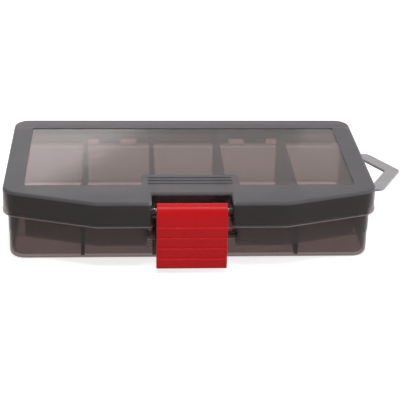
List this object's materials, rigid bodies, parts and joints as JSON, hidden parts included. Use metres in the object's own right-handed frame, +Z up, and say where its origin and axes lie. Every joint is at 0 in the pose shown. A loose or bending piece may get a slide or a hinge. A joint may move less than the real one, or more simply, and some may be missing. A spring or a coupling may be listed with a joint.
{
  "type": "tackle box",
  "caption": "Flat hinged box with long compartments, a windowed lid, a front snap latch and a swinging side handle.",
  "frame": {"origin": "on the underside, midway across the box and about midway along its depth", "axes": "+X to the right as the latch is faced, +Y to the hinges at the back, +Z up"},
  "size_m": [0.2096, 0.1182, 0.0384],
  "materials": {
    "smoke_tray": "polished",
    "smoke_lid": "satin border, polished window",
    "smoke_divider": "polished",
    "red_latch": "satin",
    "pin_steel": "bright",
    "handle_grey": "satin, slightly see-through"
  },
  "bodies": {
    "base": {"base_tray": "smoke_tray", "divider_1": "smoke_divider", "divider_2": "smoke_divider", "divider_3": "smoke_divider", "divider_4": "smoke_divider", "hinge_pin_left": "pin_steel", "hinge_pin_right": "pin_steel"},
    "lid": {"lid": "smoke_lid", "latch_pin": "pin_steel"},
    "latch": {"latch": "red_latch"},
    "handle": {"carry_handle": "handle_grey"}
  },
  "joints": [
    {"name": "lid_hinge", "type": "hinge", "parent": "base", "child": "lid", "pos_m": [0, 0.0514, 0.0267], "axis": [-1, 0, 0], "range_deg": [0, 180]},
    {"name": "latch_swing", "type": "hinge", "parent": "lid", "child": "latch", "pos_m": [0, -0.0588, 0.0325], "axis": [-1, 0, 0], "range_deg": [0, 110]},
    {"name": "handle_swing", "type": "hinge", "parent": "base", "child": "handle", "pos_m": [0.0942, 0.009, 0.023], "axis": [0, -1, 0], "range_deg": [-91, 73]}
  ]
}
